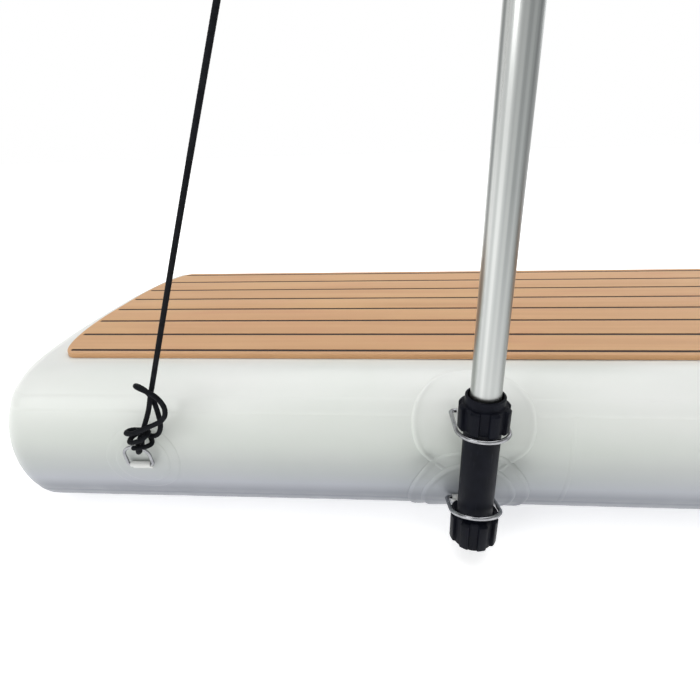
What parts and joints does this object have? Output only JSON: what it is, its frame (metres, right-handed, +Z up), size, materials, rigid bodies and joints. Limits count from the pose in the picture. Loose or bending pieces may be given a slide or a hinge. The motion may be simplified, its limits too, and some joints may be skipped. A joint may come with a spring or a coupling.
{
  "type": "inflatable gangway",
  "caption": "Flat drop-stitch inflatable gangway with a plank-look deck pad, plug-in stanchions in clamp sockets on one side and a rope handrail tied to lashing rings.",
  "frame": {"origin": "middle of the hull's underside, on the ground", "axes": "+X along the gangway, -Y the side with the stanchions and the rope, +Z up out of the deck"},
  "size_m": [2.5, 0.7056, 1.162],
  "materials": {
    "white_pvc": "satin white PVC-coated fabric",
    "polyester_fabric": "raw polyester cloth and threads",
    "dark_foam": "matt dark brown closed-cell foam",
    "teak_foam": "teak-look brushed closed-cell foam",
    "grey_plastic": "moulded grey nylon",
    "black_rubber": "moulded rubber",
    "stainless_steel": "polished stainless steel",
    "white_webbing": "woven white webbing",
    "black_plastic": "moulded black nylon with a fine sheen",
    "aluminium": "brushed anodised aluminium",
    "black_rope": "black braided polyester"
  },
  "bodies": {
    "hull": {"hull_top_skin": "white_pvc", "hull_bottom_skin": "white_pvc", "hull_side_band": "white_pvc", "seam_tape_upper": "white_pvc", "seam_tape_lower": "white_pvc", "drop_stitch_fabric": "polyester_fabric", "deck_pad_base": "dark_foam", "deck_pad_planks": "teak_foam", "valve_body": "grey_plastic", "valve_clamp_nut": "grey_plastic", "valve_gasket": "black_rubber", "valve_spring": "stainless_steel", "end_patch_near_left": "white_pvc", "end_ring_sleeve_near_left": "white_webbing", "end_patch_near_right": "white_pvc", "end_ring_sleeve_near_right": "white_webbing", "end_patch_far_left": "white_pvc", "end_ring_sleeve_far_left": "white_webbing", "end_patch_far_right": "white_pvc", "end_ring_sleeve_far_right": "white_webbing", "mount_patch_upper_left": "white_pvc", "mount_patch_lower_left": "white_pvc", "mount_sleeve_upper_left": "white_webbing", "mount_sleeve_lower_left": "white_webbing", "mount_ring_upper_left": "stainless_steel", "mount_ring_lower_left": "stainless_steel", "socket_tube_left": "black_plastic", "socket_collet_left": "black_plastic", "rope_lower_leg_left": "black_rope", "rope_upper_left": "black_rope", "mount_patch_upper_right": "white_pvc", "mount_patch_lower_right": "white_pvc", "mount_sleeve_upper_right": "white_webbing", "mount_sleeve_lower_right": "white_webbing", "mount_ring_upper_right": "stainless_steel", "mount_ring_lower_right": "stainless_steel", "socket_tube_right": "black_plastic", "socket_collet_right": "black_plastic", "rope_lower_leg_right": "black_rope", "rope_upper_right": "black_rope"},
    "valve_poppet_body": {"valve_poppet": "grey_plastic"},
    "valve_cap_body": {"valve_cap": "grey_plastic"},
    "stanchion_left": {"stanchion_tube_left": "aluminium", "stanchion_foot_left": "black_plastic", "stanchion_head_left": "black_plastic", "rope_eye_left": "stainless_steel"},
    "socket_nut_body_left": {"socket_nut_left": "black_plastic"},
    "socket_cap_body_left": {"socket_cap_left": "black_plastic"},
    "near_ring_left": {"end_ring_near_left": "stainless_steel", "ring_knot_left": "black_rope"},
    "far_ring_left": {"end_ring_far_left": "stainless_steel"},
    "stanchion_right": {"stanchion_tube_right": "aluminium", "stanchion_foot_right": "black_plastic", "stanchion_head_right": "black_plastic", "rope_eye_right": "stainless_steel"},
    "socket_nut_body_right": {"socket_nut_right": "black_plastic"},
    "socket_cap_body_right": {"socket_cap_right": "black_plastic"},
    "near_ring_right": {"end_ring_near_right": "stainless_steel", "ring_knot_right": "black_rope"},
    "far_ring_right": {"end_ring_far_right": "stainless_steel"}
  },
  "joints": [
    {"name": "valve_poppet_push", "type": "slide", "parent": "hull", "child": "valve_poppet_body", "axis": [0, 0, -1], "range_m": [0, 0.004], "stiffness_N_per_m": 400, "springref_m": -0.006, "deforming": ["valve_spring"]},
    {"name": "valve_cap_turn", "type": "hinge", "parent": "hull", "child": "valve_cap_body", "pos_m": [1.05, 0.03, 0.2], "axis": [0, 0, 1], "range_deg": [0, 90]},
    {"name": "stanchion_turn_left", "type": "hinge", "parent": "hull", "child": "stanchion_left", "pos_m": [-0.595, -0.35, 0.1], "axis": [0, 0, 1], "range_deg": [-30, 30]},
    {"name": "socket_nut_turn_left", "type": "hinge", "parent": "hull", "child": "socket_nut_body_left", "pos_m": [-0.595, -0.35, 0.1], "axis": [0, 0, 1], "range_deg": [0, 360]},
    {"name": "socket_cap_turn_left", "type": "hinge", "parent": "hull", "child": "socket_cap_body_left", "pos_m": [-0.595, -0.35, 0.1], "axis": [0, 0, -1], "range_deg": [0, 360]},
    {"name": "near_ring_swing_left", "type": "hinge", "parent": "hull", "child": "near_ring_left", "pos_m": [-1.0035, -0.32182, 0.09893], "axis": [1, 0, 0], "range_deg": [-4, 4], "deforming": ["rope_lower_leg_left"]},
    {"name": "far_ring_swing_left", "type": "hinge", "parent": "hull", "child": "far_ring_left", "pos_m": [-1.0035, 0.32182, 0.09893], "axis": [1, 0, 0], "range_deg": [-5, 150]},
    {"name": "stanchion_turn_right", "type": "hinge", "parent": "hull", "child": "stanchion_right", "pos_m": [0.595, -0.35, 0.1], "axis": [0, 0, 1], "range_deg": [-30, 30]},
    {"name": "socket_nut_turn_right", "type": "hinge", "parent": "hull", "child": "socket_nut_body_right", "pos_m": [0.595, -0.35, 0.1], "axis": [0, 0, 1], "range_deg": [0, 360]},
    {"name": "socket_cap_turn_right", "type": "hinge", "parent": "hull", "child": "socket_cap_body_right", "pos_m": [0.595, -0.35, 0.1], "axis": [0, 0, -1], "range_deg": [0, 360]},
    {"name": "near_ring_swing_right", "type": "hinge", "parent": "hull", "child": "near_ring_right", "pos_m": [1.0035, -0.32182, 0.09893], "axis": [1, 0, 0], "range_deg": [-4, 4], "deforming": ["rope_lower_leg_right"]},
    {"name": "far_ring_swing_right", "type": "hinge", "parent": "hull", "child": "far_ring_right", "pos_m": [1.0035, 0.32182, 0.09893], "axis": [1, 0, 0], "range_deg": [-5, 150]}
  ]
}
